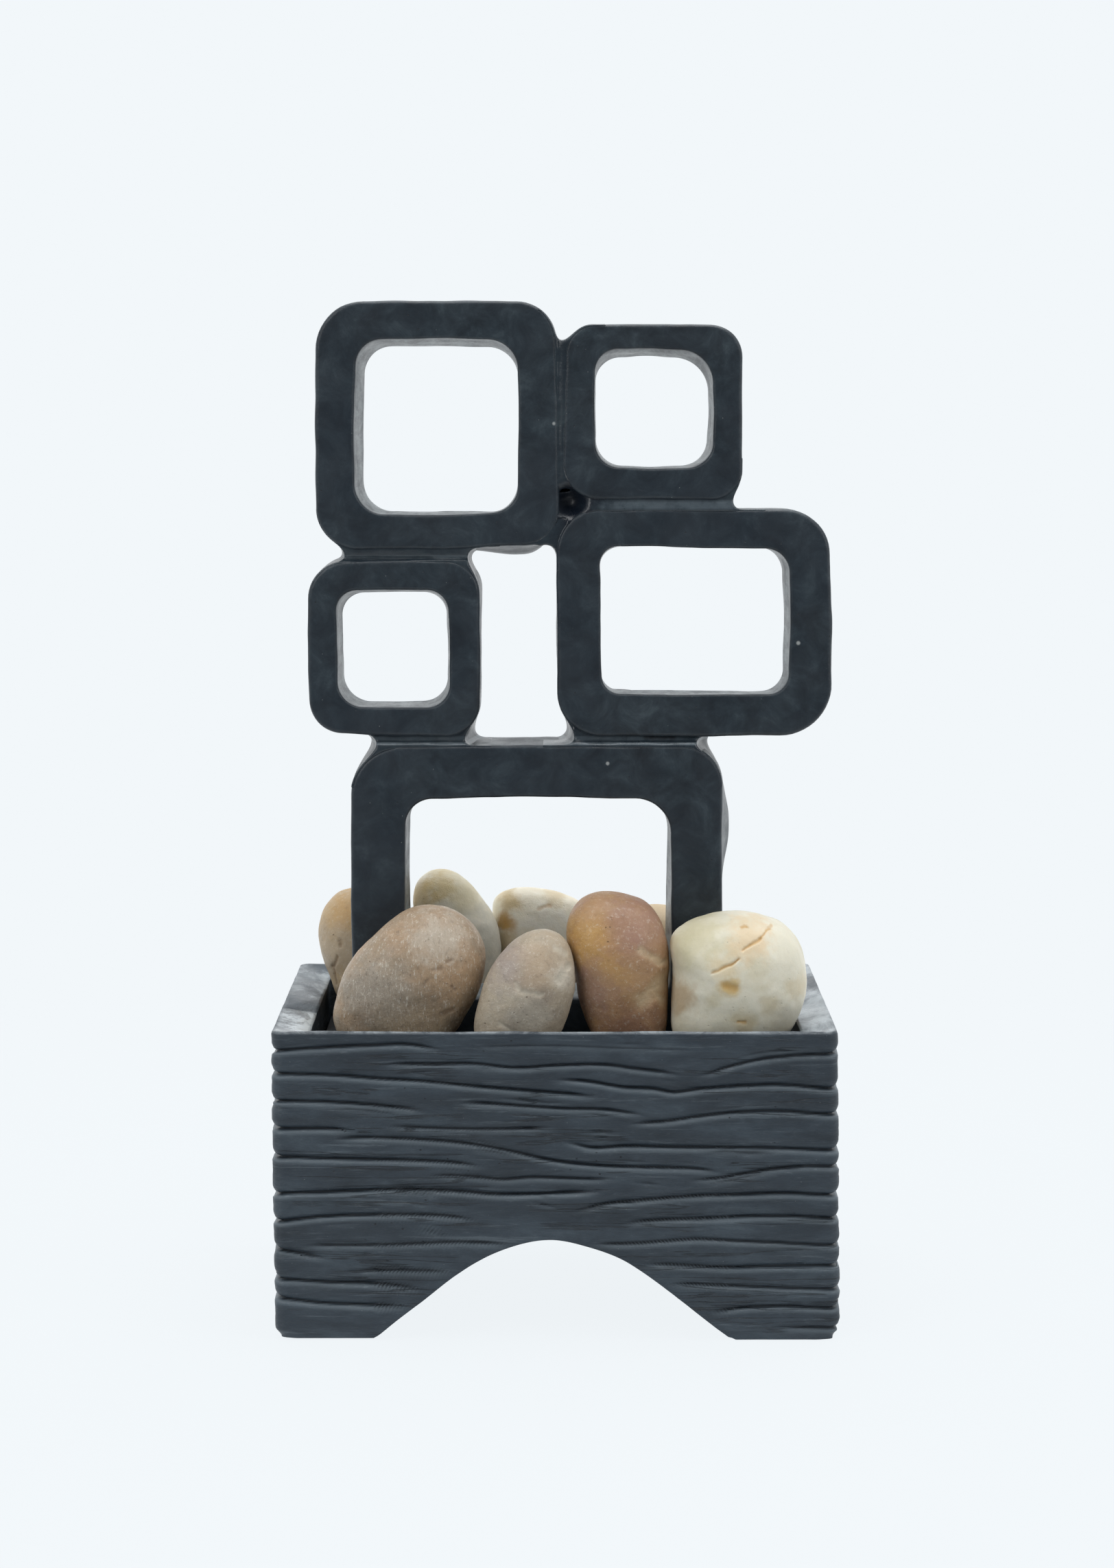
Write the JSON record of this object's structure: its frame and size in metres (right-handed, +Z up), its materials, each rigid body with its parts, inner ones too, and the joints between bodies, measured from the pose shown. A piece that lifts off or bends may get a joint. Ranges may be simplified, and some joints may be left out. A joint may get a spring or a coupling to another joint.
{
  "type": "tabletop water fountain",
  "caption": "Tabletop fountain: slate-look basin with an arched foot, a sculpture of stacked open frames, river pebbles and a small submersible pump.",
  "frame": {"origin": "on the ground under the middle of the basin", "axes": "+X to the right seen from the front, +Y to the back, +Z up"},
  "size_m": [0.141, 0.098, 0.2564],
  "materials": {
    "slate_resin": "satin cast stone-filled resin with a split-slate face",
    "sculpture_resin": "satin cast stone-filled resin, softly mottled",
    "bond_resin": "matt resin bonding paste",
    "rubber_black": "matt moulded rubber",
    "tray_black": "fine moulded texture",
    "vinyl_clear": "smooth translucent vinyl",
    "pump_plastic": "moulded, slightly satin",
    "pump_grey": "moulded",
    "impeller_plastic": "smooth moulded",
    "ferrite": "sintered, matt",
    "core_steel": "laminated",
    "copper_coil": "enamelled winding",
    "shaft_ceramic": "ground",
    "foam_grey": "open-cell foam",
    "pebble_tan": "tumbled, pitted",
    "pebble_grey_beige": "tumbled, fine grained",
    "pebble_ochre": "tumbled, chipped",
    "pebble_cream": "tumbled, with a rusty crack",
    "pebble_sand": "tumbled",
    "pebble_green_grey": "tumbled, pale",
    "pebble_stained": "tumbled, ochre stained"
  },
  "bodies": {
    "base": {"basin": "slate_resin", "foot_pads": "rubber_black", "pump_housing": "pump_plastic", "pump_back_plate": "pump_plastic", "stator_core": "core_steel", "stator_coil": "copper_coil", "rear_bush": "rubber_black", "front_bush": "rubber_black", "rotor_shaft": "shaft_ceramic", "chamber_cover": "pump_grey", "outlet_nozzle": "pump_grey", "cord_gland": "rubber_black", "suction_cups": "rubber_black"},
    "rotor": {"magnet_rotor": "ferrite", "impeller": "impeller_plastic"},
    "intake": {"intake_cover": "pump_plastic", "foam_filter": "foam_grey"},
    "slider": {"flow_slider": "pump_grey"},
    "tray": {"stone_tray": "tray_black"},
    "sculpture": {"frame_base": "sculpture_resin", "frame_lower_left": "sculpture_resin", "frame_lower_right": "sculpture_resin", "frame_upper_left": "sculpture_resin", "frame_upper_right": "sculpture_resin", "web_base_left": "bond_resin", "web_base_right": "bond_resin", "web_left_side": "bond_resin", "web_top": "bond_resin", "web_right_side": "bond_resin", "web_centre": "bond_resin", "pit_plug": "sculpture_resin", "channel_cover": "sculpture_resin", "riser_hose": "vinyl_clear"},
    "stone_front_left": {"pebble_front_left": "pebble_tan"},
    "stone_front_centre": {"pebble_front_centre": "pebble_grey_beige"},
    "stone_front_mid": {"pebble_front_mid": "pebble_ochre"},
    "stone_front_right": {"pebble_front_right": "pebble_cream"},
    "stone_back_left": {"pebble_back_left": "pebble_sand"},
    "stone_back_tall": {"pebble_back_tall": "pebble_green_grey"},
    "stone_back_centre": {"pebble_back_centre": "pebble_stained"},
    "stone_back_right": {"pebble_back_right": "pebble_sand"},
    "stone_back_corner": {"pebble_back_corner": "pebble_tan"}
  },
  "joints": [
    {"name": "rotor_spin", "type": "hinge", "parent": "base", "child": "rotor", "pos_m": [0.042, 0.0075, 0.0455], "axis": [1, 0, 0], "continuous": true},
    {"name": "intake_pull", "type": "slide", "parent": "base", "child": "intake", "axis": [-1, 0, 0], "range_m": [0, 0.03]},
    {"name": "flow_slide", "type": "slide", "parent": "intake", "child": "slider", "axis": [0, 1, 0], "range_m": [0, 0.01]},
    {"name": "tray_lift", "type": "slide", "parent": "base", "child": "tray", "axis": [0, 0, 1], "range_m": [0, 0.1]},
    {"name": "sculpture_lift", "type": "slide", "parent": "tray", "child": "sculpture", "axis": [0, 0, 1], "range_m": [0, 0.12]},
    {"name": "stone_front_left_lift", "type": "slide", "parent": "tray", "child": "stone_front_left", "axis": [0, 0, 1], "range_m": [0, 0.06]},
    {"name": "stone_front_centre_lift", "type": "slide", "parent": "tray", "child": "stone_front_centre", "axis": [0, 0, 1], "range_m": [0, 0.06]},
    {"name": "stone_front_mid_lift", "type": "slide", "parent": "tray", "child": "stone_front_mid", "axis": [0, 0, 1], "range_m": [0, 0.06]},
    {"name": "stone_front_right_lift", "type": "slide", "parent": "tray", "child": "stone_front_right", "axis": [0, 0, 1], "range_m": [0, 0.06]},
    {"name": "stone_back_left_lift", "type": "slide", "parent": "tray", "child": "stone_back_left", "axis": [0, 0, 1], "range_m": [0, 0.06]},
    {"name": "stone_back_tall_lift", "type": "slide", "parent": "tray", "child": "stone_back_tall", "axis": [0, 0, 1], "range_m": [0, 0.06]},
    {"name": "stone_back_centre_lift", "type": "slide", "parent": "tray", "child": "stone_back_centre", "axis": [0, 0, 1], "range_m": [0, 0.06]},
    {"name": "stone_back_right_lift", "type": "slide", "parent": "tray", "child": "stone_back_right", "axis": [0, 0, 1], "range_m": [0, 0.06]},
    {"name": "stone_back_corner_lift", "type": "slide", "parent": "tray", "child": "stone_back_corner", "axis": [0, 0, 1], "range_m": [0, 0.06]}
  ]
}
